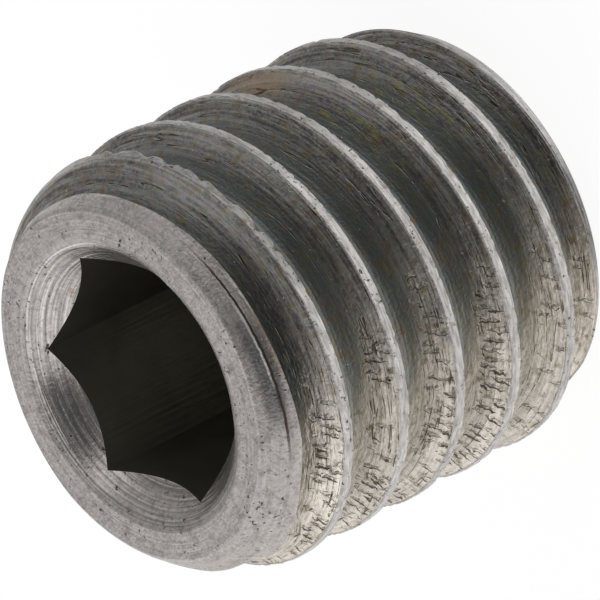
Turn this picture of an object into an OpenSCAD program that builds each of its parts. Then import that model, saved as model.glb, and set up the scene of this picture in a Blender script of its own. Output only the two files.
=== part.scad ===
// Orifice restrictor screw: a headless set screw turned from one piece of steel bar.
// A hex socket is sunk into one face, and a metering hole runs from the bottom of the
// socket out through the flat point. The screw stands on that point. The origin is the
// centre of the point, +Z runs up the axis to the socket, and +X passes through a
// corner of the hexagon. All sizes are in millimetres, all angles in degrees.

/* [Body] */
// Length over both end faces
body_l = 5.9; // [5:0.1:12]
// Width of the chamfer outside the face round the socket, measured across the axis
face_chamfer = 0.54; // [0.4:0.01:0.7]
// Angle of that chamfer to the axis
face_angle = 45; // [35:1:60]
// Radius that blends that chamfer into the crests
face_blend = 1; // [0.4:0.1:1.6]
// Width of the chamfer outside the flat point, measured across the axis
point_chamfer = 0.33; // [0.2:0.01:0.5]
// Angle of that chamfer to the axis
point_angle = 28; // [20:1:45]
// Radius that blends that chamfer into the crests
point_blend = 1; // [0.4:0.1:2]
// Radius where each chamfer meets its end face
edge_r = 0.06; // [0.03:0.01:0.15]

/* [Thread] */
// Diameter over the crests
thread_d = 5.86; // [5.7:0.02:6.5]
// Advance of the right-hand helix in one turn
pitch = 1; // [0.75:0.25:1.25]
// Angle between the two flanks of the groove
flank_angle = 60; // [55:1:65]
// Width of the flat land left on the crest
crest_w = 0.125; // [0.08:0.005:0.2]
// Radius at the root of the groove
root_r = 0.145; // [0.1:0.005:0.2]
// Turn of the thread against the hexagon
thread_clock = 12; // [0:4:356]

/* [Socket] */
// Width across the flats of the hexagon
socket_af = 3; // [2:0.1:3.2]
// Depth of the hexagon below the face
socket_depth = 3; // [1.5:0.1:3.2]
// Width of the countersink outside the corners of the hexagon
sink_rim = 0.21; // [0.05:0.01:0.3]
// Full angle of the countersink
sink_angle = 90; // [82:1:100]
// How far the hole drilled for the broach stays inside the flats
pilot_gap = 0.05; // [0.02:0.01:0.2]
// Chip room drilled below the hexagon, down to the start of the drill point
chip_room = 0.3; // [0.1:0.05:0.5]
// Full angle of the drill point
drill_angle = 118; // [90:1:140]

/* [Orifice] */
// Diameter of the metering hole
orifice_d = 1; // [0.4:0.1:1.6]
// Width of the bevel round its mouth in the point
mouth_bevel = 0.15; // [0.05:0.05:0.3]

/* [Finish] */
// Flats that stand for one turn of the thread
turn_steps = 48; // [24:4:72]
// Flats that stand for the rounded root of the groove
root_steps = 3; // [1:1:6]

/* [Hidden] */
$fn = 96;
steel = "#a9a49d";
// Cutters reach this far past the surface that they cut
over = 0.05;
// Flats that stand for each rounded edge and each blend of an end
edge_steps = 4;

thread_r = thread_d / 2;
flank = flank_angle / 2;
groove_w = pitch - crest_w;
// Depth at which a root of radius root_r just touches both flanks
thread_h = (groove_w / 2 - root_r * (1 - sin(flank)) / cos(flank)) / tan(flank);
corner_r = socket_af / 2 / cos(30);
sink_r = corner_r + sink_rim;
pilot_r = socket_af / 2 - pilot_gap;
drill_start = body_l - socket_depth - chip_room;

// Points on an arc of radius r, from angle a0 to angle a1
function arc(centre, r, a0, a1, steps) =
    [for (i = [0 : steps]) let (a = a0 + (a1 - a0) * i / steps) centre + r * [cos(a), sin(a)]];

// Outline of an end, as radius and height above its flat face: the rounded edge of the
// face, the chamfer, and the blend that runs out into the crests
function end_outline(chamfer_w, angle, blend_r) =
    let (
        back = edge_r * tan((90 - angle) / 2),
        fall = chamfer_w / tan(angle) + blend_r * tan(angle / 2))
    concat(
        arc([thread_r - chamfer_w - back, -edge_r], edge_r, 90, angle, edge_steps),
        arc([thread_r - blend_r, -fall], blend_r, angle, 0, edge_steps));

// Turned bar: two end faces, their chamfers and the diameter over the crests
module blank() {
    face = [for (p = end_outline(face_chamfer, face_angle, face_blend)) [p[0], body_l + p[1]]];
    point = [for (p = end_outline(point_chamfer, point_angle, point_blend)) [p[0], -p[1]]];
    point_up = [for (i = [len(point) - 1 : -1 : 0]) point[i]];
    rotate_extrude() polygon(concat([[0, body_l]], face, point_up, [[0, 0]]));
}

// Section of the groove, as radius and height above the middle of the groove
function groove_section() =
    let (mouth_r = thread_r + over, mouth = groove_w / 2 + over * tan(flank))
    concat(
        [[mouth_r, mouth]],
        arc([thread_r - thread_h + root_r, 0], root_r, 90 + flank, 270 - flank, root_steps),
        [[mouth_r, -mouth]]);

// Cutter for the thread: the groove's section swept up a right-hand helix, from below
// the point to above the face
module thread_groove() {
    section = groove_section();
    n = len(section);
    start = pitch * (thread_clock / 360 - 1.5);
    steps = turn_steps * ceil(body_l / pitch + 2);
    points = [for (i = [0 : steps], p = section)
        let (a = 360 * i / turn_steps)
        [p[0] * cos(a), p[0] * sin(a), p[1] + start + pitch * i / turn_steps]];
    sides = [for (i = [0 : steps - 1], j = [0 : n - 1])
        let (a = i * n + j, b = i * n + (j + 1) % n)
        each [[a, b, b + n], [a, b + n, a + n]]];
    first = [for (j = [n - 1 : -1 : 0]) j];
    last = [for (j = [0 : n - 1]) steps * n + j];
    polyhedron(points, concat(sides, [first, last]));
}

// Countersunk hex socket with the drilled hole that cleared the way for the broach
module socket() {
    sink_h = sink_r / tan(sink_angle / 2);
    translate([0, 0, body_l - socket_depth]) cylinder(h = socket_depth + over, r = corner_r, $fn = 6);
    rotate_extrude() polygon([
        [0, body_l - sink_h],
        [sink_r, body_l],
        [sink_r, body_l + over],
        [0, body_l + over]]);
    rotate_extrude() polygon([
        [0, drill_start - pilot_r / tan(drill_angle / 2)],
        [pilot_r, drill_start],
        [pilot_r, body_l],
        [0, body_l]]);
}

// Metering hole along the axis, bevelled where it leaves the point
module orifice() {
    mouth_r = orifice_d / 2 + mouth_bevel;
    translate([0, 0, -over]) cylinder(h = drill_start + over, d = orifice_d);
    rotate_extrude() polygon([[0, -over], [mouth_r, -over], [mouth_r, 0], [0, mouth_r]]);
}

module restrictor_screw() {
    color(steel)
        difference() {
            blank();
            thread_groove();
            socket();
            orifice();
        }
}

restrictor_screw();
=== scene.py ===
import math

import bpy
from mathutils import Matrix, Vector


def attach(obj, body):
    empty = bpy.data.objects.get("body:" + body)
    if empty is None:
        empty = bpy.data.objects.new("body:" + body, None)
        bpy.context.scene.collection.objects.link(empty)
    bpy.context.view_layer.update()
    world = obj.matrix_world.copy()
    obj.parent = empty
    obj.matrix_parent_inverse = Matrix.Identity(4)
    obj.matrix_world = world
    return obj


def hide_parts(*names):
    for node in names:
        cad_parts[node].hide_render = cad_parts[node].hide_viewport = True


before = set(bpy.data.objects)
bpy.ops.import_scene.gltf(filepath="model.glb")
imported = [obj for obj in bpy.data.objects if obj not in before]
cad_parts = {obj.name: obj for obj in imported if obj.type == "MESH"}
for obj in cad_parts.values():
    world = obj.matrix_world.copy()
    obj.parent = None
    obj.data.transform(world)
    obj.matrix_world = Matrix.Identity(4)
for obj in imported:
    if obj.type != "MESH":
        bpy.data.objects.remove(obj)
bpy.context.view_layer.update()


# The screw: one piece of bare free-machining steel, an M6 x 1 set screw with a 3 mm hexagon
# socket and a 1 mm metering hole through its flat point. The blank is turned from bar, the
# hexagon broached over a drilled pilot, and the thread cut last, so it runs through both chamfers.
MM = 0.001
LENGTH = 5.9 * MM
THREAD_RADIUS = 2.93 * MM
PITCH = 1.0 * MM
CREST_WIDTH = 0.125 * MM
GROOVE_DEPTH = 0.613 * MM
CREST_START = 0.0333 * MM          # height at which the thread's crest passes angle 0
FACE_RADIUS = 2.39 * MM
POINT_RADIUS = 2.6 * MM
POINT_SLOPE = math.tan(math.radians(28))
EDGE_BREAK = 0.06 * MM
HEX_RADIUS = 1.5 * MM              # half of the 3 mm key size
HEX_FLOOR = 2.9 * MM
SINK_RADIUS = 1.942 * MM
PILOT_RADIUS = 1.45 * MM
PILOT_FLOOR = 2.6 * MM
BORE_RADIUS = 0.5 * MM
MOUTH_RADIUS = 0.65 * MM
FACE_BLEND = 0.54 * MM             # how softly the chamfers run into the thread's outside
POINT_BLEND = 0.19 * MM
ROOT_ROUND = 0.25 * MM
CREST_ROUND = 0.02 * MM
ROOT_REACH = 2.31 * MM             # a little inside the bottom of the thread's groove
COLUMNS = 540                      # a multiple of six, so that each corner of the hexagon has one
ROWS_PER_PITCH = 24


def add(tree, kind, inputs=None, **settings):
    """Adds a node with its settings; inputs maps a socket to a value, a node or a node's output."""
    node = tree.nodes.new(kind)
    for name, value in settings.items():
        setattr(node, name, value)
    for key, value in (inputs or {}).items():
        if isinstance(value, bpy.types.Node):
            value = value.outputs[0]
        if isinstance(value, bpy.types.NodeSocket):
            tree.links.new(value, node.inputs[key])
        else:
            node.inputs[key].default_value = value
    return node


def tone(code):
    """A colour written as sRGB hex, turned to linear."""
    parts = [int(code[i:i + 2], 16) / 255 for i in (1, 3, 5)]
    return tuple(c / 12.92 if c <= 0.04045 else ((c + 0.055) / 1.055) ** 2.4 for c in parts) + (1.0,)


def between(value, start, full, waning, end):
    """1 from full to waning, and eased to 0 at start and at end; made in the tree being built."""
    rise = add(tree, "ShaderNodeMapRange", {"Value": value, "From Min": start, "From Max": full},
               interpolation_type="SMOOTHSTEP")
    fall = add(tree, "ShaderNodeMapRange", {"Value": value, "From Min": end, "From Max": waning},
               interpolation_type="SMOOTHSTEP")
    return add(tree, "ShaderNodeMath", {0: rise, 1: fall}, operation="MULTIPLY")


# Bare free-machining steel, turned and thread-cut, unplated: a satin warm grey with the tool's
# rings on the turned faces; the cut flanks are darker under their film of oil and oxide, and also
# carry painted shade towards their roots and in a strip on one side; on one side the die tore them,
# which leaves a pale, cracked skin.
skin = bpy.data.materials.new("turned_and_cut_steel")
skin.use_nodes = True
tree = skin.node_tree
tree.nodes.clear()
where = add(tree, "ShaderNodeTexCoord").outputs["Object"]
where = add(tree, "ShaderNodeVectorMath", {0: where, "Scale": 1 / MM}, operation="SCALE")   # in mm
axes = add(tree, "ShaderNodeSeparateXYZ", {0: where}).outputs
flat = add(tree, "ShaderNodeVectorMath", {0: where, 1: (1.0, 1.0, 0.0)}, operation="MULTIPLY")
radius = add(tree, "ShaderNodeVectorMath", {0: flat}, operation="LENGTH").outputs["Value"]
side = add(tree, "ShaderNodeMath", {0: axes[1], 1: axes[0]}, operation="ARCTAN2")
side = add(tree, "ShaderNodeMath", {0: side, 1: 1 / (2 * math.pi)}, operation="MULTIPLY")
place = add(tree, "ShaderNodeMath", {0: axes[2], 1: CREST_START / MM}, operation="SUBTRACT")
place = add(tree, "ShaderNodeMath", {0: place, 1: side}, operation="SUBTRACT")
number = add(tree, "ShaderNodeMath", {0: place}, operation="FLOOR")
across = add(tree, "ShaderNodeMath", {0: place}, operation="FRACT")
turns = add(tree, "ShaderNodeMath", {0: number, 1: side}, operation="ADD")
along = add(tree, "ShaderNodeMath", {0: turns, 1: 18.2}, operation="MULTIPLY")           # in mm, at r 2.9
off_crest = add(tree, "ShaderNodeMath", {0: place, 1: 0.5}, operation="PINGPONG")
depth = add(tree, "ShaderNodeAttribute", attribute_name="cut_depth").outputs["Fac"]

# Where each finish lies: the flanks and roots of the thread, the torn skin on them, the turned
# skin left between the cuts, the rubbed lands along the crests, and the countersink.
flank = add(tree, "ShaderNodeMapRange", {"Value": depth, "From Min": 0.012, "From Max": 0.04},
            interpolation_type="SMOOTHSTEP")
root = add(tree, "ShaderNodeMapRange", {"Value": depth, "From Min": 0.12, "From Max": 0.5},
           interpolation_type="SMOOTHSTEP")
patch = add(tree, "ShaderNodeTexNoise", {"Vector": where, "Scale": 1 / 0.7, "Detail": 3.0})
torn_at = add(tree, "ShaderNodeMath", {0: patch, 1: 0.12, 2: side}, operation="MULTIPLY_ADD")
torn = between(torn_at, -0.42, -0.32, -0.14, 0.0)
torn = add(tree, "ShaderNodeMath", {0: torn, 1: flank}, operation="MULTIPLY")
reaching = add(tree, "ShaderNodeMapRange", {"Value": side, "From Min": -0.22, "From Max": -0.13,
                                            "To Min": -0.2, "To Max": 0.02})
outer = add(tree, "ShaderNodeMath", {0: depth, 1: reaching}, operation="ADD")
outer = add(tree, "ShaderNodeMapRange", {"Value": outer, "From Min": 0.3, "From Max": 0.42, "To Min": 1.0,
                                         "To Max": 0.3})
torn = add(tree, "ShaderNodeMath", {0: torn, 1: outer}, operation="MULTIPLY")
turned_only = add(tree, "ShaderNodeMath", {0: 1.0, 1: flank}, operation="SUBTRACT")
land = add(tree, "ShaderNodeMath", {0: turned_only, 1: between(off_crest, -0.1, 0.0, 0.08, 0.12)},
           operation="MULTIPLY")
land = add(tree, "ShaderNodeMath", {0: land, 1: between(radius, 2.75, 2.88, 3.0, 3.1)},
           operation="MULTIPLY")
foot = add(tree, "ShaderNodeMath", {0: between(axes[2], 0.02, 0.06, 0.5, 0.6), 1: turned_only},
           operation="MULTIPLY")
land = add(tree, "ShaderNodeMath", {0: land, 1: foot}, operation="MAXIMUM")
sink = add(tree, "ShaderNodeMath", {0: radius, 1: SINK_RADIUS / MM}, operation="LESS_THAN")
above = add(tree, "ShaderNodeMath", {0: axes[2], 1: 5.2}, operation="GREATER_THAN")
sink = add(tree, "ShaderNodeMath", {0: sink, 1: above}, operation="MULTIPLY")

# Tool marks: rings on the turned faces, a few hundredths of a millimetre apart and broken into
# arcs; long straight streaks and shorter flakes along the flanks, where the die dragged.
ring_at = add(tree, "ShaderNodeMath", {0: axes[2], 1: 0.4, 2: radius}, operation="MULTIPLY_ADD")
ring_at = add(tree, "ShaderNodeMath", {0: ring_at, 1: 1 / 0.024}, operation="MULTIPLY")
arcs = add(tree, "ShaderNodeVectorMath", {0: where, "Scale": 0.6}, operation="SCALE")
rings = add(tree, "ShaderNodeTexNoise", {"Vector": arcs, "W": ring_at, "Scale": 1.0, "Detail": 2.0},
            noise_dimensions="4D")
streak_at = add(tree, "ShaderNodeCombineXYZ", {0: along, 1: across, 2: 0.0})
streaks = []
for run, wide, detail in ((1.5, 0.022, 2.0), (3.0, 0.09, 2.0), (0.22, 0.045, 4.0)):      # in mm
    drawn = add(tree, "ShaderNodeVectorMath", {0: streak_at, 1: (1 / run, 1 / wide, 1.0)},
                operation="MULTIPLY")
    streaks.append(add(tree, "ShaderNodeTexNoise", {"Vector": drawn, "Scale": 1.0, "Detail": detail}))
streak_fine, streak_wide, flakes = streaks
grain = add(tree, "ShaderNodeTexNoise", {"Vector": where, "Scale": 1 / 0.04, "Detail": 3.0})
cluster = add(tree, "ShaderNodeTexNoise", {"Vector": where, "Scale": 1 / 0.9, "Detail": 1.0})
wander = add(tree, "ShaderNodeTexNoise", {"Vector": where, "Scale": 1 / 0.09, "Detail": 2.0})

# Cracks across the torn flanks: a short ragged stroke in each of many cells of an uneven
# lattice, with a flap of metal lifted along one side of it.
crack_at = add(tree, "ShaderNodeVectorMath", {0: streak_at, 1: (1 / 0.14, 1 / 0.13, 1.0)},
               operation="MULTIPLY")
cell = add(tree, "ShaderNodeTexVoronoi", {"Vector": crack_at, "Scale": 1.0, "Randomness": 0.9},
           voronoi_dimensions="2D")
chance = add(tree, "ShaderNodeSeparateXYZ", {0: cell.outputs["Color"]}).outputs
away = add(tree, "ShaderNodeVectorMath", {0: crack_at, 1: cell.outputs["Position"]}, operation="SUBTRACT")
away = add(tree, "ShaderNodeSeparateXYZ", {0: away}).outputs
tilt = add(tree, "ShaderNodeMath", {0: chance[1], 1: 0.6}, operation="SUBTRACT")
tilt = add(tree, "ShaderNodeMath", {0: tilt, 1: away[1]}, operation="MULTIPLY")
bend = add(tree, "ShaderNodeMath", {0: wander, 1: 0.55}, operation="SUBTRACT")
bend = add(tree, "ShaderNodeMath", {0: bend, 1: 1.1, 2: tilt}, operation="MULTIPLY_ADD")
bend = add(tree, "ShaderNodeMath", {0: bend, 1: away[0]}, operation="ADD")
reach = add(tree, "ShaderNodeMath", {0: chance[2], 1: 0.5, 2: 0.45}, operation="MULTIPLY_ADD")
reach = add(tree, "ShaderNodeMath", {0: away[1], 1: reach}, operation="DIVIDE")
reach = add(tree, "ShaderNodeMath", {0: reach, 1: reach}, operation="MULTIPLY")
reach = add(tree, "ShaderNodeMath", {0: 1.0, 1: reach}, operation="SUBTRACT", use_clamp=True)
likely = add(tree, "ShaderNodeMapRange", {"Value": cluster, "From Min": 0.36, "From Max": 0.56,
                                          "To Min": 0.3, "To Max": 1.1})
likely = add(tree, "ShaderNodeMath", {0: likely, 1: between(turns, 1.66, 1.72, 1.84, 1.9)}, operation="ADD")
likely = add(tree, "ShaderNodeMath", {0: likely, 1: torn}, operation="MULTIPLY")
spared = add(tree, "ShaderNodeMapRange", {"Value": turns, "From Min": 1.0, "From Max": 1.4, "To Min": 0.35})
likely = add(tree, "ShaderNodeMath", {0: likely, 1: spared}, operation="MULTIPLY")
likely = add(tree, "ShaderNodeMath", {0: likely, 1: between(depth, 0.01, 0.06, 0.3, 0.42)},
             operation="MULTIPLY")
present = add(tree, "ShaderNodeMath", {0: likely, 1: chance[0]}, operation="GREATER_THAN")
reach = add(tree, "ShaderNodeMath", {0: reach, 1: present}, operation="MULTIPLY")
crack_width = add(tree, "ShaderNodeMath", {0: chance[0], 1: 0.14, 2: 0.06}, operation="MULTIPLY_ADD")
crack_width = add(tree, "ShaderNodeMath", {0: crack_width, 1: reach}, operation="MULTIPLY")
cracks = add(tree, "ShaderNodeMath", {0: bend}, operation="ABSOLUTE")
cracks = add(tree, "ShaderNodeMath", {0: crack_width, 1: cracks}, operation="SUBTRACT")
cracks = add(tree, "ShaderNodeMapRange", {"Value": cracks, "From Min": 0.0, "From Max": 0.07,
                                          "To Max": 0.9})
flap = add(tree, "ShaderNodeMath", {0: reach, 1: between(bend, 0.0, 0.06, 0.1, 0.6)}, operation="MULTIPLY")

# Dark scores along the flanks, where a chip was dragged round.
score = add(tree, "ShaderNodeMath", {0: streak_wide, 1: 0.5}, operation="SUBTRACT")
score = add(tree, "ShaderNodeMath", {0: score}, operation="ABSOLUTE")
score = add(tree, "ShaderNodeMapRange", {"Value": score, "From Min": 0.016, "From Max": 0.003})
score_here = add(tree, "ShaderNodeMapRange", {"Value": flakes, "From Min": 0.47, "From Max": 0.56,
                                              "To Max": 0.75})
score = add(tree, "ShaderNodeMath", {0: score, 1: score_here}, operation="MULTIPLY")
score = add(tree, "ShaderNodeMath", {0: score, 1: between(depth, 0.01, 0.05, 0.3, 0.5)},
            operation="MULTIPLY")

# The dark seam at the foot of the smeared lip on the first thread, with a painted highlight, a thin bright
# glint line, beside it.
seam_at = add(tree, "ShaderNodeMapRange", {"Value": turns, "From Min": 4.82, "From Max": 5.0,
                                           "To Min": 0.765, "To Max": 0.69}, clamp=False)
seam = add(tree, "ShaderNodeMath", {0: wander, 1: 0.02, 2: seam_at}, operation="MULTIPLY_ADD")
seam = add(tree, "ShaderNodeMath", {0: across, 1: seam}, operation="SUBTRACT")
painted_seam_glint = add(tree, "ShaderNodeMath", {0: between(seam, 0.01, 0.02, 0.026, 0.042),
                                         1: between(turns, 4.86, 4.885, 4.93, 4.95)},
                operation="MULTIPLY")
seam = add(tree, "ShaderNodeMath", {0: seam}, operation="ABSOLUTE")
seam = add(tree, "ShaderNodeMapRange", {"Value": seam, "From Min": 0.016, "From Max": 0.006})
seam = add(tree, "ShaderNodeMath", {0: seam, 1: between(turns, 4.79, 4.84, 4.96, 5.01)},
           operation="MULTIPLY")
on_lip = add(tree, "ShaderNodeMath", {0: radius, 1: FACE_RADIUS / MM}, operation="GREATER_THAN")
seam = add(tree, "ShaderNodeMath", {0: seam, 1: on_lip}, operation="MULTIPLY")
# The bright line beside the seam is a painted highlight.
painted_seam_glint = add(tree, "ShaderNodeMath", {0: painted_seam_glint, 1: on_lip}, operation="MULTIPLY")
painted_seam_glint = add(tree, "ShaderNodeMath", {0: painted_seam_glint, 1: 0.8}, operation="MULTIPLY")

# Small ragged pits in the turned skin, and the rust that gathers in blots.
speck = add(tree, "ShaderNodeTexNoise", {"Vector": where, "Scale": 1 / 0.055, "Detail": 2.0})
thick = add(tree, "ShaderNodeMath", {0: patch, 1: 0.3, 2: speck}, operation="MULTIPLY_ADD")
thick = add(tree, "ShaderNodeMath", {0: land, 1: 0.02, 2: thick}, operation="MULTIPLY_ADD")
pits = add(tree, "ShaderNodeMapRange", {"Value": thick, "From Min": 0.83, "From Max": 0.9, "To Max": 0.9})
pits = add(tree, "ShaderNodeMath", {0: pits, 1: turned_only}, operation="MULTIPLY")
blot = add(tree, "ShaderNodeTexNoise", {"Vector": where, "Scale": 1 / 0.16, "Detail": 5.0,
                                        "Roughness": 0.65})
rust = add(tree, "ShaderNodeMapRange", {"Value": blot, "From Min": 0.57, "From Max": 0.74, "To Max": 0.8})

# Colours. The turned skin is pale, and the lands are rubbed brighter but fray where the crest is
# broken; on one side of the screw the lands carry painted shade. The flanks are dulled by their
# film, with marks that fade into the roots, and both the filmed and the torn metal are darker
# towards the roots, partly from oil and partly painted shade; torn metal is bare and warm, and
# freshest at the lower end of the first flank.
worn = add(tree, "ShaderNodeMath", {0: grain, 1: 0.4, 2: blot}, operation="MULTIPLY_ADD")
turned = add(tree, "ShaderNodeMapRange", {"Value": worn, "From Min": 0.45, "From Max": 0.95})
rubbed = add(tree, "ShaderNodeMapRange", {"Value": flakes, "From Min": 0.35, "From Max": 0.65})
# The second colour of each root pair is darker towards the roots: partly oil, partly painted shade.
shades = []
for share, first, last in ((turned, "#98928c", "#d2cdc7"), (rubbed, "#aaa7a3", "#dad7d3"),
                           (root, "#9a9793", "#808483"), (root, "#d8d1c6", "#b9b3a8")):
    shades.append(add(tree, "ShaderNodeMix", {0: share, 6: tone(first), 7: tone(last)},
                      data_type="RGBA").outputs[2])
turned, rubbed, filmed_and_root_shaded, bared_and_root_shaded = shades
# Painted shade: the rubbed lands are darkened on one side of the screw.
painted_side_shade = add(tree, "ShaderNodeMath", {0: between(side, -0.02, 0.06, 0.3, 0.4), 1: -0.35, 2: 1.0},
             operation="MULTIPLY_ADD")
rubbed = add(tree, "ShaderNodeVectorMath", {0: rubbed, 1: painted_side_shade}, operation="MULTIPLY")
frayed = add(tree, "ShaderNodeMath", {0: place, 1: 0.5}, operation="ADD")
frayed = add(tree, "ShaderNodeMath", {0: frayed}, operation="FLOOR")
frayed = add(tree, "ShaderNodeMath", {0: frayed, 1: side}, operation="ADD")
frayed = add(tree, "ShaderNodeMath", {0: between(frayed, 4.91, 4.95, 5.13, 5.17), 1: -0.3, 2: 1.0},
             operation="MULTIPLY_ADD")
rubbed = add(tree, "ShaderNodeVectorMath", {0: rubbed, 1: frayed}, operation="MULTIPLY")
turned = add(tree, "ShaderNodeMix", {0: land, 6: turned, 7: rubbed}, data_type="RGBA").outputs[2]
ring_light = add(tree, "ShaderNodeMath", {0: sink, 1: 0.37, 2: 0.17}, operation="MULTIPLY_ADD")
ring_mark = add(tree, "ShaderNodeMapRange", {"Value": rings, "From Min": 0.3, "From Max": 0.7,
                                             "To Min": -1.0})
ringed = add(tree, "ShaderNodeMath", {0: ring_mark, 1: ring_light, 2: 1.0}, operation="MULTIPLY_ADD")
turned = add(tree, "ShaderNodeVectorMath", {0: turned, 1: ringed}, operation="MULTIPLY")
cut = add(tree, "ShaderNodeMix", {0: torn, 6: filmed_and_root_shaded, 7: bared_and_root_shaded}, data_type="RGBA").outputs[2]
marks = add(tree, "ShaderNodeMath", {0: streak_fine, 1: 0.9, 2: streak_wide}, operation="MULTIPLY_ADD")
marks = add(tree, "ShaderNodeMath", {0: grain, 1: 0.6, 2: marks}, operation="MULTIPLY_ADD")
marks = add(tree, "ShaderNodeMath", {0: flakes, 1: 0.8, 2: marks}, operation="MULTIPLY_ADD")
marks = add(tree, "ShaderNodeMapRange", {"Value": marks, "From Min": 1.38, "From Max": 1.92, "To Min": 0.38,
                                         "To Max": 1.5})
even = add(tree, "ShaderNodeMath", {0: root, 1: 1.5}, operation="MULTIPLY")
even = add(tree, "ShaderNodeMath", {0: torn, 1: even}, operation="MAXIMUM")
even = add(tree, "ShaderNodeMath", {0: even, 1: 0.55}, operation="MULTIPLY", use_clamp=True)
calm = add(tree, "ShaderNodeMapRange", {"Value": torn, "To Min": 1.0, "To Max": 1.2})
marks = add(tree, "ShaderNodeMix", {0: even, 2: marks, 3: calm}, data_type="FLOAT")
tints = add(tree, "ShaderNodeVectorMath", {0: blot.outputs["Color"], 1: (0.4, 0.34, 0.38),
                                           2: (0.8, 0.825, 0.795)}, operation="MULTIPLY_ADD")
tints = add(tree, "ShaderNodeMix", {0: torn, 4: tints, 5: (1.0, 1.0, 1.0)}, data_type="VECTOR").outputs[1]
cut = add(tree, "ShaderNodeVectorMath", {0: cut, 1: tints}, operation="MULTIPLY")
cut = add(tree, "ShaderNodeVectorMath", {0: cut, 1: marks}, operation="MULTIPLY")
# Painted shade: a strip of the flanks on one side of the screw is darkened a little.
painted_shade_strip = between(side, -0.19, -0.12, -0.05, 0.0)
painted_shade_strip = add(tree, "ShaderNodeMath", {0: painted_shade_strip, 1: -0.12, 2: 1.0}, operation="MULTIPLY_ADD")
cut = add(tree, "ShaderNodeVectorMath", {0: cut, 1: painted_shade_strip}, operation="MULTIPLY")
fresh = add(tree, "ShaderNodeMath", {0: between(turns, 4.7, 4.76, 4.82, 4.88),
                                     1: between(across, -0.1, 0.0, 0.3, 0.45)}, operation="MULTIPLY")
fresh = add(tree, "ShaderNodeMath", {0: fresh, 1: 0.25, 2: 1.0}, operation="MULTIPLY_ADD")
cut = add(tree, "ShaderNodeVectorMath", {0: cut, 1: fresh}, operation="MULTIPLY")

# Stains: olive and moss-green oil, tan at one crest, rust, and the dark smear beside the lip, partly
# a painted dark reflection; painted shade in grey in the closed groove; a painted tan highlight on the
# lip; and painted glints on single bright grains.
olive = add(tree, "ShaderNodeMath", {0: blot, 1: flakes}, operation="ADD")
olive = add(tree, "ShaderNodeMapRange", {"Value": olive, "From Min": 1.0, "From Max": 1.25, "To Max": 0.55})
mossy = add(tree, "ShaderNodeMath", {0: between(turns, 1.97, 2.0, 2.05, 2.1),
                                     1: between(turns, 0.97, 1.0, 1.05, 1.1)}, operation="ADD")
mossy = add(tree, "ShaderNodeMath", {0: mossy, 1: between(across, 0.15, 0.2, 0.3, 0.36)},
            operation="MULTIPLY")
mossy_here = add(tree, "ShaderNodeMapRange", {"Value": flakes, "From Min": 0.52, "From Max": 0.62,
                                              "To Max": 0.6})
mossy = add(tree, "ShaderNodeMath", {0: mossy, 1: mossy_here}, operation="MULTIPLY")
tan = add(tree, "ShaderNodeMath", {0: between(turns, 2.09, 2.12, 2.15, 2.18),
                                   1: between(across, 0.05, 0.09, 0.2, 0.3)}, operation="MULTIPLY")
tan = add(tree, "ShaderNodeMath", {0: tan, 1: flakes}, operation="MULTIPLY")
# Painted shade: darker grey in the root of the first groove, beside and under the lip.
painted_groove_shade = add(tree, "ShaderNodeMapRange", {"Value": turns, "From Min": 4.83, "From Max": 5.0, "To Min": 0.63,
                                          "To Max": 0.53}, clamp=False)
painted_groove_shade = add(tree, "ShaderNodeMath", {0: across, 1: painted_groove_shade}, operation="SUBTRACT")
painted_groove_shade = add(tree, "ShaderNodeMath", {0: between(painted_groove_shade, -0.12, -0.05, 0.03, 0.05),
                                      1: between(turns, 4.7, 4.74, 4.88, 4.95)}, operation="MULTIPLY")
painted_groove_shade = add(tree, "ShaderNodeMath", {0: painted_groove_shade, 1: 0.8}, operation="MULTIPLY")
for share, code in ((olive, "#8a8562"), (mossy, "#a8a873"), (tan, "#b59a78"), (painted_groove_shade, "#5b5d60")):
    cut = add(tree, "ShaderNodeMix", {0: share, 6: cut, 7: tone(code)}, data_type="RGBA").outputs[2]
# Painted highlight: a tan glint along the lip's outer edge.
painted_lip_highlight = add(tree, "ShaderNodeMath", {0: between(turns, 4.86, 4.89, 4.92, 4.94),
                                       1: between(across, 0.6, 0.63, 0.67, 0.7)}, operation="MULTIPLY")
painted_lip_highlight = add(tree, "ShaderNodeMath", {0: painted_lip_highlight, 1: on_lip}, operation="MULTIPLY")
painted_lip_highlight = add(tree, "ShaderNodeMath", {0: painted_lip_highlight, 1: 0.35}, operation="MULTIPLY")
# Painted glints: single near-white specks.
painted_glint = add(tree, "ShaderNodeMapRange", {"Value": speck, "From Min": 0.27, "From Max": 0.2, "To Max": 0.8})
# The dark smear beside the lip follows the tool's rings, and is partly a painted dark reflection on the
# chamfer.
smear_and_dark_reflection = between(side, -0.18, -0.145, -0.1, -0.055)
smear_and_dark_reflection = add(tree, "ShaderNodeMath", {0: smear_and_dark_reflection, 1: between(radius, 2.43, 2.52, 2.66, 2.7)},
            operation="MULTIPLY")
smear_and_dark_reflection = add(tree, "ShaderNodeMath", {0: smear_and_dark_reflection, 1: turned_only}, operation="MULTIPLY")
smear_and_dark_reflection = add(tree, "ShaderNodeMath", {0: smear_and_dark_reflection, 1: rings}, operation="MULTIPLY")
smear_and_dark_reflection = add(tree, "ShaderNodeMath", {0: smear_and_dark_reflection, 1: 1.2}, operation="MULTIPLY")
holes = add(tree, "ShaderNodeMath", {0: cracks, 1: pits}, operation="MAXIMUM")
holes = add(tree, "ShaderNodeMath", {0: holes, 1: score}, operation="MAXIMUM")
holes = add(tree, "ShaderNodeMath", {0: holes, 1: seam}, operation="MAXIMUM")
colour = add(tree, "ShaderNodeMix", {0: flank, 6: turned, 7: cut}, data_type="RGBA").outputs[2]
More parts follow.
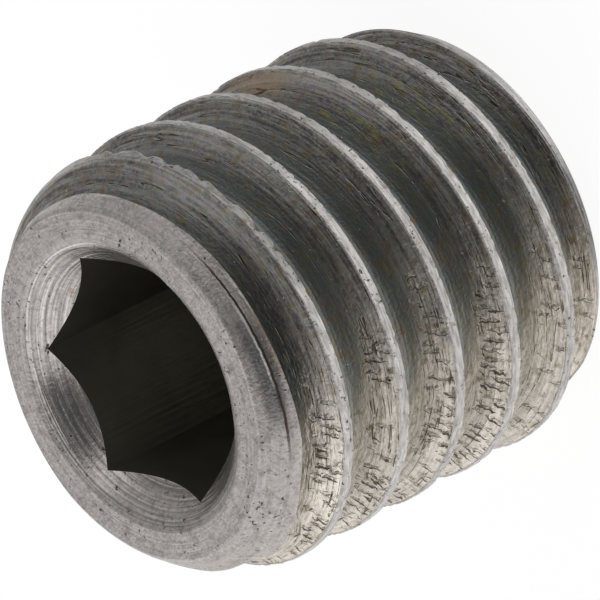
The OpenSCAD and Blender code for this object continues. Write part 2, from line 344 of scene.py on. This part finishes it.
for share, code in ((rust, "#86705c"), (painted_lip_highlight, "#d9bd98"), (painted_glint, "#f2f0ec"), (smear_and_dark_reflection, "#3c3c3d"),
                    (painted_seam_glint, "#f2f0ec"), (holes, "#483e34")):
    colour = add(tree, "ShaderNodeMix", {0: share, 6: colour, 7: tone(code)}, data_type="RGBA").outputs[2]

# Relief, in mm. The countersink was cut with a keener tool: smoother, with plainer rings. The
# streaks on the flanks are shallower in the roots.
ring_relief = add(tree, "ShaderNodeMath", {0: sink, 1: 0.003, 2: 0.005}, operation="MULTIPLY_ADD")
ring_relief = add(tree, "ShaderNodeMath", {0: ring_relief, 1: rings}, operation="MULTIPLY")
streak_relief = add(tree, "ShaderNodeMath", {0: flakes, 1: 1.5, 2: streak_fine}, operation="MULTIPLY_ADD")
streak_height = add(tree, "ShaderNodeMath", {0: root, 1: -0.006, 2: 0.01}, operation="MULTIPLY_ADD")
streak_relief = add(tree, "ShaderNodeMath", {0: streak_relief, 1: streak_height}, operation="MULTIPLY")
relief = add(tree, "ShaderNodeMix", {0: flank, 2: ring_relief, 3: streak_relief}, data_type="FLOAT")
gritty = add(tree, "ShaderNodeMath", {0: sink, 1: -0.01, 2: 0.013}, operation="MULTIPLY_ADD")
gritty = add(tree, "ShaderNodeMath", {0: flank, 1: -0.006, 2: gritty}, operation="MULTIPLY_ADD")
relief = add(tree, "ShaderNodeMath", {0: gritty, 1: grain, 2: relief}, operation="MULTIPLY_ADD")
flaked = add(tree, "ShaderNodeMath", {0: torn, 1: flakes}, operation="MULTIPLY")
relief = add(tree, "ShaderNodeMath", {0: flaked, 1: 0.018, 2: relief}, operation="MULTIPLY_ADD")
relief = add(tree, "ShaderNodeMath", {0: flap, 1: 0.045, 2: relief}, operation="MULTIPLY_ADD")
relief = add(tree, "ShaderNodeMath", {0: holes, 1: -0.02, 2: relief}, operation="MULTIPLY_ADD")
relief = add(tree, "ShaderNodeBump", {"Height": relief, "Strength": 1.0, "Distance": MM})
rough = add(tree, "ShaderNodeMapRange", {"Value": torn, "To Min": 0.42, "To Max": 0.5})
rough = add(tree, "ShaderNodeMix", {0: sink, 2: rough, 3: 0.23}, data_type="FLOAT")
brushed = add(tree, "ShaderNodeMath", {0: sink, 1: 0.75, 2: 0.1}, operation="MULTIPLY_ADD")
round_axis = add(tree, "ShaderNodeTangent", direction_type="RADIAL", axis="Z")
surface = add(tree, "ShaderNodeBsdfPrincipled", {"Base Color": colour, "Metallic": 1.0,
                                                 "Anisotropic": brushed, "Anisotropic Rotation": 0.25,
                                                 "Roughness": rough, "Normal": relief,
                                                 "Tangent": round_axis})
add(tree, "ShaderNodeOutputMaterial", {"Surface": surface})

# The broached socket and the drilled holes: the same steel, dulled by cutting oil, with fine
# streaks down the broached walls.
socket_skin = bpy.data.materials.new("broached_and_drilled_steel")
socket_skin.use_nodes = True
tree = socket_skin.node_tree
tree.nodes.clear()
where = add(tree, "ShaderNodeTexCoord").outputs["Object"]
where = add(tree, "ShaderNodeVectorMath", {0: where, "Scale": 1 / MM}, operation="SCALE")   # in mm
streaks = add(tree, "ShaderNodeVectorMath", {0: where, 1: (1 / 0.06, 1 / 0.06, 1 / 1.5)},
              operation="MULTIPLY")
streaks = add(tree, "ShaderNodeTexNoise", {"Vector": streaks, "Scale": 1.0, "Detail": 3.0})
stain = add(tree, "ShaderNodeTexNoise", {"Vector": where, "Scale": 1 / 0.8, "Detail": 3.0})
colour = add(tree, "ShaderNodeMix", {0: stain, 6: tone("#77756e"), 7: tone("#a9a698")},
             data_type="RGBA").outputs[2]
relief = add(tree, "ShaderNodeBump", {"Height": streaks, "Strength": 1.0, "Distance": 0.008 * MM})
surface = add(tree, "ShaderNodeBsdfPrincipled", {"Base Color": colour, "Metallic": 1.0, "Roughness": 0.45,
                                                 "Normal": relief})
add(tree, "ShaderNodeOutputMaterial", {"Surface": surface})


# The half outline of the turned blank, from the face's outer edge in through the socket and the
# metering hole to the point's outer edge. hexed says how far a point follows the hexagon, and
# rimmed how far its height follows the scalloped rim where the hexagon cuts the countersink.
def edge_break(outer_slope_deg, radius, height, up):
    """Points of the small round between an end face and its chamfer, from the chamfer inwards."""
    turn = math.radians(90 - outer_slope_deg)
    run = EDGE_BREAK * math.tan(turn / 2)
    centre = (radius - run, height - up * EDGE_BREAK)
    return [(centre[0] + EDGE_BREAK * math.sin(turn * (1 - i / 3)),
             centre[1] + up * EDGE_BREAK * math.cos(turn * (1 - i / 3))) for i in range(4)]


outline = [(r, z, 0, 0) for r, z in edge_break(45, FACE_RADIUS, LENGTH, 1)]
THREAD_TOP = outline[0][1]
outline += [(FACE_RADIUS + (SINK_RADIUS - FACE_RADIUS) * i / 7, LENGTH, 0, 0) for i in range(1, 8)]
outline += [(SINK_RADIUS, LENGTH, i / 5, i / 5) for i in range(1, 6)]
WALL_ROW = len(outline) - 1
outline += [(0, HEX_FLOOR, 1, 1 - f) for f in (0.015, 0.05, 0.15, 0.4, 0.7, 1)]
outline += [(PILOT_RADIUS, HEX_FLOOR, 0.4, 0), (PILOT_RADIUS, HEX_FLOOR, 0, 0),
            (PILOT_RADIUS, PILOT_FLOOR, 0, 0)]
cone_depth = (PILOT_RADIUS - BORE_RADIUS) / math.tan(math.radians(59))
outline += [(PILOT_RADIUS + (BORE_RADIUS - PILOT_RADIUS) * i / 4, PILOT_FLOOR - cone_depth * i / 4, 0, 0)
            for i in range(1, 5)]
bevel = MOUTH_RADIUS - BORE_RADIUS
outline += [(BORE_RADIUS, bevel + (PILOT_FLOOR - cone_depth - bevel) * f, 0, 0) for f in (0.66, 0.33, 0)]
outline += [(MOUTH_RADIUS, 0, 0, 0)]
MOUTH_ROW = len(outline) - 1
outline += [(MOUTH_RADIUS + (2.3 * MM - MOUTH_RADIUS) * i / 6, 0, 0, 0) for i in range(1, 7)]
outline += [(r, z, 0, 0) for r, z in reversed(edge_break(28, POINT_RADIUS, 0, -1))]
THREAD_FOOT = outline[-1][1]

outline_mesh = bpy.data.meshes.new("blank_outline")
outline_mesh.from_pydata([(r, 0, z) for r, z, hexed, rimmed in outline],
                         [(i, i + 1) for i in range(len(outline) - 1)], [])
for name, place in (("hexed", 2), ("rimmed", 3)):
    attribute = outline_mesh.attributes.new(name, "FLOAT", "POINT")
    for point, entry in zip(attribute.data, outline):
        point.value = entry[place]
screw = bpy.data.objects.new("restrictor_screw_finished", outline_mesh)
bpy.context.scene.collection.objects.link(screw)

# The tree turns the outline, broaches the hexagon and cuts the thread.
tree = bpy.data.node_groups.new("turned_and_threaded", "GeometryNodeTree")
tree.interface.new_socket(name="Outline", in_out="INPUT", socket_type="NodeSocketGeometry")
sizes = {"Length": LENGTH, "Thread radius": THREAD_RADIUS, "Pitch": PITCH, "Crest width": CREST_WIDTH,
         "Groove depth": GROOVE_DEPTH, "Crest start": CREST_START, "Face radius": FACE_RADIUS,
         "Point radius": POINT_RADIUS, "Point slope": POINT_SLOPE, "Hex radius": HEX_RADIUS,
         "Sink radius": SINK_RADIUS, "Thread top": THREAD_TOP, "Thread foot": THREAD_FOOT}
counts = {"Columns": COLUMNS, "Outline rows": len(outline),
          "Thread rows": math.ceil((LENGTH + PITCH) / PITCH * ROWS_PER_PITCH) + 3}
for name in sizes:
    tree.interface.new_socket(name=name, in_out="INPUT", socket_type="NodeSocketFloat")
for name in counts:
    tree.interface.new_socket(name=name, in_out="INPUT", socket_type="NodeSocketInt")
tree.interface.new_socket(name="Geometry", in_out="OUTPUT", socket_type="NodeSocketGeometry")
given = add(tree, "NodeGroupInput").outputs


def cut_surface(turned, height, angle_share):
    """The radius left when the thread's groove is cut into a turned surface of that radius."""
    lead = add(tree, "ShaderNodeMath", {0: angle_share, 1: given["Pitch"]}, operation="MULTIPLY")
    place = add(tree, "ShaderNodeMath", {0: height, 1: lead}, operation="SUBTRACT")
    place = add(tree, "ShaderNodeMath", {0: place, 1: given["Crest start"]}, operation="SUBTRACT")
    half = add(tree, "ShaderNodeMath", {0: given["Pitch"], 1: 0.5}, operation="MULTIPLY")
    away = add(tree, "ShaderNodeMath", {0: place, 1: half}, operation="PINGPONG")
    land = add(tree, "ShaderNodeMath", {0: given["Crest width"], 1: 0.5}, operation="MULTIPLY")
    away = add(tree, "ShaderNodeMath", {0: away, 1: land}, operation="SUBTRACT")
    away = add(tree, "ShaderNodeMath", {0: away, 1: 0.0}, operation="MAXIMUM")
    flank = add(tree, "ShaderNodeMath", {0: away, 1: -math.sqrt(3), 2: given["Thread radius"]},
                operation="MULTIPLY_ADD")
    root = add(tree, "ShaderNodeMath", {0: given["Thread radius"], 1: given["Groove depth"]},
               operation="SUBTRACT")
    groove = add(tree, "ShaderNodeMath", {0: flank, 1: root, 2: ROOT_ROUND}, operation="SMOOTH_MAX")
    return add(tree, "ShaderNodeMath", {0: turned, 1: groove, 2: CREST_ROUND}, operation="SMOOTH_MIN")


def grid(rows):
    """A sheet of columns by rows, with its share of the full turn and its row number."""
    columns = add(tree, "ShaderNodeMath", {0: given["Columns"], 1: 1.0}, operation="ADD")
    sheet = add(tree, "GeometryNodeMeshGrid", {"Size X": 1.0, "Size Y": 1.0, "Vertices X": columns,
                                               "Vertices Y": rows})
    at = add(tree, "ShaderNodeSeparateXYZ", {0: add(tree, "GeometryNodeInputPosition")})
    share = add(tree, "ShaderNodeMath", {0: at.outputs[0], 1: 0.5}, operation="ADD")
    steps = add(tree, "ShaderNodeMath", {0: rows, 1: 1.0}, operation="SUBTRACT")
    row = add(tree, "ShaderNodeMath", {0: at.outputs[1], 1: 0.5}, operation="ADD")
    row = add(tree, "ShaderNodeMath", {0: row, 1: steps}, operation="MULTIPLY")
    return sheet, share, row


def turned_place(radius, share, height):
    """The point at a radius, a share of the full turn and a height."""
    angle = add(tree, "ShaderNodeMath", {0: share, 1: 2 * math.pi}, operation="MULTIPLY")
    flat = [add(tree, "ShaderNodeMath", {0: add(tree, "ShaderNodeMath", {0: angle}, operation=way),
                                         1: radius}, operation="MULTIPLY") for way in ("COSINE", "SINE")]
    return add(tree, "ShaderNodeCombineXYZ", {0: flat[0], 1: flat[1], 2: height})


# Outside: the rows follow the thread's lead, so crest edges and flanks keep their lines; what
# would lie past an end is drawn in to that end's edge.
sheet, share, row = grid(given["Thread rows"])
row_step = add(tree, "ShaderNodeMath", {0: given["Pitch"], 1: 1 / ROWS_PER_PITCH}, operation="MULTIPLY")
first = add(tree, "ShaderNodeMath", {0: row_step, 1: -(ROWS_PER_PITCH + 1.5), 2: given["Crest start"]},
            operation="MULTIPLY_ADD")
height = add(tree, "ShaderNodeMath", {0: row, 1: row_step, 2: first}, operation="MULTIPLY_ADD")
height = add(tree, "ShaderNodeMath", {0: share, 1: given["Pitch"], 2: height}, operation="MULTIPLY_ADD")
height = add(tree, "ShaderNodeClamp", {0: height, 1: given["Thread foot"], 2: given["Thread top"]})
below = add(tree, "ShaderNodeMath", {0: given["Length"], 1: height}, operation="SUBTRACT")
face_side = add(tree, "ShaderNodeMath", {0: given["Face radius"], 1: below}, operation="ADD")
point_side = add(tree, "ShaderNodeMath", {0: height, 1: given["Point slope"], 2: given["Point radius"]},
                 operation="MULTIPLY_ADD")
blank = add(tree, "ShaderNodeMath", {0: face_side, 1: given["Thread radius"], 2: FACE_BLEND},
            operation="SMOOTH_MIN")
blank = add(tree, "ShaderNodeMath", {0: blank, 1: point_side, 2: POINT_BLEND}, operation="SMOOTH_MIN")

# The face end is worn down on one side and crushed a little on another.
for around, up, deep in (((0.06, 0.2, 0.26, 0.42), (4.7, 5.2, 5.7, 5.88), 0.065 * MM),
                         ((0.52, 0.6, 0.66, 0.74), (5.2, 5.5, 5.62, 5.85), 0.07 * MM)):
    dent = add(tree, "ShaderNodeMath", {0: between(share, *around),
                                        1: between(height, *(z * MM for z in up))}, operation="MULTIPLY")
    blank = add(tree, "ShaderNodeMath", {0: dent, 1: -deep, 2: blank}, operation="MULTIPLY_ADD")
plain = cut_surface(blank, height, share)
radius = plain

# Turns along the thread, counted up towards the face, and the place across one pitch.
place = add(tree, "ShaderNodeMath", {0: height, 1: given["Crest start"]}, operation="SUBTRACT")
place = add(tree, "ShaderNodeMath", {0: place, 1: given["Pitch"]}, operation="DIVIDE")
place = add(tree, "ShaderNodeMath", {0: place, 1: share}, operation="SUBTRACT")
number = add(tree, "ShaderNodeMath", {0: place}, operation="FLOOR")
across = add(tree, "ShaderNodeMath", {0: place, 1: number}, operation="SUBTRACT")
turns = add(tree, "ShaderNodeMath", {0: number, 1: share}, operation="ADD")

# Smeared metal: a lip lies over the first groove, and further round it closes the groove.
lip_edge = add(tree, "ShaderNodeMapRange", {"Value": turns, "From Min": 4.78, "From Max": 5.16,
                                            "To Min": 0.66, "To Max": 0.55})
lip = add(tree, "ShaderNodeMath", {0: across, 1: lip_edge}, operation="SUBTRACT")
lip = add(tree, "ShaderNodeMath", {0: lip, 1: 0.0}, operation="MINIMUM")
lip = add(tree, "ShaderNodeMath", {0: lip, 1: 4 * MM, 2: blank}, operation="MULTIPLY_ADD")
lip_drop = add(tree, "ShaderNodeMath", {0: between(turns, 4.6, 4.7, 5.2, 5.3), 1: -MM, 2: MM},
               operation="MULTIPLY_ADD")
lip = add(tree, "ShaderNodeMath", {0: lip, 1: lip_drop}, operation="SUBTRACT")
radius = add(tree, "ShaderNodeMath", {0: radius, 1: lip, 2: 0.04 * MM}, operation="SMOOTH_MAX")
fill = add(tree, "ShaderNodeMapRange", {"Value": height, "From Min": 4.7 * MM, "From Max": 5.45 * MM,
                                        "To Min": 2.84 * MM, "To Max": 2.63 * MM})
closed = between(turns, 4.46, 4.56, 4.70, 4.765)
fill = add(tree, "ShaderNodeMath", {0: closed, 1: 0.6 * MM, 2: fill}, operation="MULTIPLY_ADD")
fill = add(tree, "ShaderNodeMath", {0: fill, 1: 0.6 * MM}, operation="SUBTRACT")
fill = add(tree, "ShaderNodeMath", {0: fill, 1: blank}, operation="MINIMUM")
filled = add(tree, "ShaderNodeMath", {0: radius, 1: fill, 2: 0.06 * MM}, operation="SMOOTH_MAX")
first_groove = add(tree, "ShaderNodeMath", {0: turns, 1: 4.45}, operation="GREATER_THAN")
radius = add(tree, "ShaderNodeMix", {0: first_groove, 2: radius, 3: filled}, data_type="FLOAT")
radius = add(tree, "ShaderNodeMath", {0: radius, 1: blank}, operation="MINIMUM")

# Burred edges: scallops broken out of the second crest, and small nicks along every crest.
crest = add(tree, "ShaderNodeMath", {0: place, 1: 0.5}, operation="ADD")
crest = add(tree, "ShaderNodeMath", {0: crest}, operation="FLOOR")
crest_turns = add(tree, "ShaderNodeMath", {0: crest, 1: share}, operation="ADD")
spot = turned_place(radius, share, height)
uneven = add(tree, "ShaderNodeTexNoise", {"Vector": spot, "Scale": 1 / (0.5 * MM), "Detail": 1.0})
wave = add(tree, "ShaderNodeMath", {0: uneven, 1: 0.03, 2: crest_turns}, operation="MULTIPLY_ADD")
wave = add(tree, "ShaderNodeMath", {0: wave, 1: math.pi / 0.027}, operation="MULTIPLY")
wave = add(tree, "ShaderNodeMath", {0: wave}, operation="SINE")
wave = add(tree, "ShaderNodeMath", {0: wave}, operation="ABSOLUTE")
wave = add(tree, "ShaderNodeMath", {0: 1.0, 1: wave}, operation="SUBTRACT")
wave = add(tree, "ShaderNodeMath", {0: wave, 1: between(crest_turns, 4.94, 4.97, 5.12, 5.16)},
           operation="MULTIPLY")
wave = add(tree, "ShaderNodeMath", {0: wave, 1: between(across, 0.7, 0.9, 0.97, 1.0)}, operation="MULTIPLY")
wave = add(tree, "ShaderNodeMath", {0: wave, 1: -0.065 * MM, 2: radius}, operation="MULTIPLY_ADD")
nicks = add(tree, "ShaderNodeTexNoise", {"Vector": spot, "Scale": 1 / (0.13 * MM), "Detail": 2.0})
nicks = add(tree, "ShaderNodeMapRange", {"Value": nicks, "From Min": 0.5, "From Max": 0.8, "To Min": 0.0,
                                         "To Max": 0.035 * MM})
edge = add(tree, "ShaderNodeMath", {0: place, 1: 0.5}, operation="PINGPONG")
nicks = add(tree, "ShaderNodeMath", {0: nicks, 1: between(edge, 0.0, 0.06, 0.07, 0.14)},
            operation="MULTIPLY")
nicks = add(tree, "ShaderNodeMath", {0: nicks, 1: between(height, 0.05 * MM, 0.2 * MM, 5.6 * MM, 5.8 * MM)},
            operation="MULTIPLY")
radius = add(tree, "ShaderNodeMath", {0: wave, 1: nicks}, operation="SUBTRACT")

at_end = add(tree, "ShaderNodeMath", {0: given["Thread top"], 1: 0.001 * MM}, operation="SUBTRACT")
at_end = add(tree, "ShaderNodeMath", {0: height, 1: at_end}, operation="GREATER_THAN")
radius = add(tree, "ShaderNodeMix", {0: at_end, 2: radius, 3: plain}, data_type="FLOAT")
depth = add(tree, "ShaderNodeMath", {0: blank, 1: radius}, operation="SUBTRACT")
depth = add(tree, "ShaderNodeMath", {0: depth, 1: 1 / MM}, operation="MULTIPLY")           # in mm
kept = add(tree, "GeometryNodeStoreNamedAttribute", {"Geometry": sheet.outputs[0], "Name": "cut_depth",
                                                     "Value": depth}, data_type="FLOAT", domain="POINT")
outside = add(tree, "GeometryNodeSetPosition", {"Geometry": kept,
                                                "Position": turned_place(radius, share, height)})

# Ends, socket and hole: the rows are the outline's own points.
sheet, share, row = grid(given["Outline rows"])
sampled = []
for name in ("position", "hexed", "rimmed"):
    kind = "FLOAT_VECTOR" if name == "position" else "FLOAT"
    source = add(tree, "GeometryNodeInputNamedAttribute", {"Name": name}, data_type=kind)
    sampled.append(add(tree, "GeometryNodeSampleIndex", {"Geometry": given["Outline"], "Value": source,
                                                         "Index": row}, data_type=kind, domain="POINT"))
at = add(tree, "ShaderNodeSeparateXYZ", {0: sampled[0]})
side = add(tree, "ShaderNodeMath", {0: share, 1: 6.0}, operation="MULTIPLY")
side = add(tree, "ShaderNodeMath", {0: side}, operation="FRACT")
side = add(tree, "ShaderNodeMath", {0: side, 1: math.pi / 3, 2: -math.pi / 6}, operation="MULTIPLY_ADD")
side = add(tree, "ShaderNodeMath", {0: side}, operation="COSINE")
wall = add(tree, "ShaderNodeMath", {0: given["Hex radius"], 1: side}, operation="DIVIDE")
rim = add(tree, "ShaderNodeMath", {0: given["Length"], 1: given["Sink radius"]}, operation="SUBTRACT")
rim = add(tree, "ShaderNodeMath", {0: rim, 1: wall}, operation="ADD")
radius = add(tree, "ShaderNodeMix", {0: sampled[1], 2: at.outputs[0], 3: wall}, data_type="FLOAT")
height = add(tree, "ShaderNodeMix", {0: sampled[2], 2: at.outputs[2], 3: rim}, data_type="FLOAT")
in_reach = add(tree, "ShaderNodeMath", {0: radius, 1: ROOT_REACH}, operation="GREATER_THAN")
cut = cut_surface(radius, height, share)
radius = add(tree, "ShaderNodeMix", {0: in_reach, 2: radius, 3: cut}, data_type="FLOAT")
wall_row = add(tree, "ShaderNodeMath", {0: row, 1: WALL_ROW}, operation="GREATER_THAN")
mouth_row = add(tree, "ShaderNodeMath", {0: row, 1: MOUTH_ROW}, operation="LESS_THAN")
walls = add(tree, "ShaderNodeMath", {0: wall_row, 1: mouth_row}, operation="MULTIPLY")
kept = add(tree, "GeometryNodeStoreNamedAttribute", {"Geometry": sheet.outputs[0], "Name": "in_socket",
                                                     "Value": walls}, data_type="BOOLEAN", domain="FACE")
inside = add(tree, "GeometryNodeSetPosition", {"Geometry": kept,
                                               "Position": turned_place(radius, share, height)})

joined = add(tree, "GeometryNodeJoinGeometry")
tree.links.new(outside.outputs[0], joined.inputs[0])
tree.links.new(inside.outputs[0], joined.inputs[0])
welded = add(tree, "GeometryNodeMergeByDistance", {"Geometry": joined, "Distance": 0.0007 * MM})
made = add(tree, "GeometryNodeRealizeInstances", {0: welded})
made = add(tree, "GeometryNodeSetMaterial", {"Geometry": made, "Material": skin})
in_socket = add(tree, "GeometryNodeInputNamedAttribute", {"Name": "in_socket"}, data_type="BOOLEAN")
made = add(tree, "GeometryNodeSetMaterial", {"Geometry": made, "Selection": in_socket,
                                             "Material": socket_skin})
sharp = add(tree, "GeometryNodeInputMeshEdgeAngle")
sharp = add(tree, "ShaderNodeMath", {0: sharp, 1: math.radians(34)}, operation="GREATER_THAN")
made = add(tree, "GeometryNodeSetShadeSmooth", {"Geometry": made, "Selection": sharp,
                                                "Shade Smooth": False}, domain="EDGE")
add(tree, "NodeGroupOutput", {0: made})

cutter = screw.modifiers.new("turned_and_threaded", "NODES")
cutter.node_group = tree
for socket in tree.interface.items_tree:
    if socket.in_out == "INPUT" and socket.name in sizes:
        cutter[socket.identifier] = sizes[socket.name]
    elif socket.in_out == "INPUT" and socket.name in counts:
        cutter[socket.identifier] = counts[socket.name]
finished = bpy.data.meshes.new_from_object(screw.evaluated_get(bpy.context.evaluated_depsgraph_get()))
screw.modifiers.clear()
screw.data = finished
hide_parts("restrictor_screw")
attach(screw, "root")

# The table: a plain pale floor under the point, white to the eye and keeping the shadow.
floor_mesh = bpy.data.meshes.new("pale_floor")
spread = 2.0
floor_mesh.from_pydata([(-spread, -spread, 0), (spread, -spread, 0), (spread, spread, 0),
                        (-spread, spread, 0)], [], [(0, 1, 2, 3)])
floor = bpy.data.objects.new("pale_floor", floor_mesh)
bpy.context.scene.collection.objects.link(floor)
paper = bpy.data.materials.new("matt_white_paper")
paper.use_nodes = True
tree = paper.node_tree
tree.nodes.clear()
path = add(tree, "ShaderNodeLightPath").outputs
seen = add(tree, "ShaderNodeMath", {0: path["Is Camera Ray"], 1: path["Is Glossy Ray"]},
           operation="MAXIMUM")
seen = add(tree, "ShaderNodeMath", {0: seen, 1: path["Is Transmission Ray"]}, operation="MAXIMUM")
seen = add(tree, "ShaderNodeMath", {0: seen, 1: 0.8}, operation="MULTIPLY")
matt = add(tree, "ShaderNodeBsdfDiffuse", {"Color": tone("#f4f3f1")})
bright = add(tree, "ShaderNodeEmission", {"Strength": 1.12})
mixed = add(tree, "ShaderNodeMixShader", {0: seen, 1: matt, 2: bright})
add(tree, "ShaderNodeOutputMaterial", {"Surface": mixed})
floor_mesh.materials.append(paper)

# The light: an even studio sky all round, dimmer towards the dark of the room behind the viewer
# and a little to the left.
world = bpy.data.worlds.new("studio")
bpy.context.scene.world = world
world.use_nodes = True
tree = world.node_tree
tree.nodes.clear()
sky = add(tree, "ShaderNodeTexCoord").outputs["Generated"]
level = add(tree, "ShaderNodeValue")
level.outputs[0].default_value = 1.0
for aim, inner, outer, dimmed in (((-25, 56), 21, 38, 0.15), ((-29, 15), 30, 60, 0.6),
                                  ((95, 30), 25, 60, 0.45)):
    turn, rise = math.radians(aim[0]), math.radians(aim[1])
    middle = Vector((math.cos(rise) * math.cos(turn), math.cos(rise) * math.sin(turn), math.sin(rise)))
    near = add(tree, "ShaderNodeVectorMath", {0: sky, 1: middle}, operation="DOT_PRODUCT").outputs["Value"]
    flag = add(tree, "ShaderNodeMapRange", {"Value": near, "From Min": math.cos(math.radians(outer)),
                                            "From Max": math.cos(math.radians(inner)), "To Min": 1.0,
                                            "To Max": dimmed}, interpolation_type="SMOOTHSTEP")
    level = add(tree, "ShaderNodeMath", {0: level, 1: flag}, operation="MULTIPLY")
light = add(tree, "ShaderNodeBackground", {"Color": tone("#fbfbff"), "Strength": level})
add(tree, "ShaderNodeOutputWorld", {"Surface": light})

# The camera, close to the screw's socket end and turned so that the axis runs up to the right.
lens = bpy.data.cameras.new("viewpoint")
lens.sensor_width = 36
lens.lens = 720
lens.clip_start = 0.01
camera = bpy.data.objects.new("viewpoint", lens)
bpy.context.scene.collection.objects.link(camera)
right = Vector((0.249024, -0.655003, -0.713413))
down = Vector((-0.670813, -0.647967, 0.360761))
ahead = Vector((-0.698568, 0.388729, -0.600744))
turn = Matrix((right, -down, -ahead)).transposed().to_4x4()
camera.matrix_world = Matrix.Translation(Vector((107.6158, -59.8939, 95.3964)) * MM) @ turn
bpy.context.scene.camera = camera
bpy.context.scene.view_settings.view_transform = "Standard"
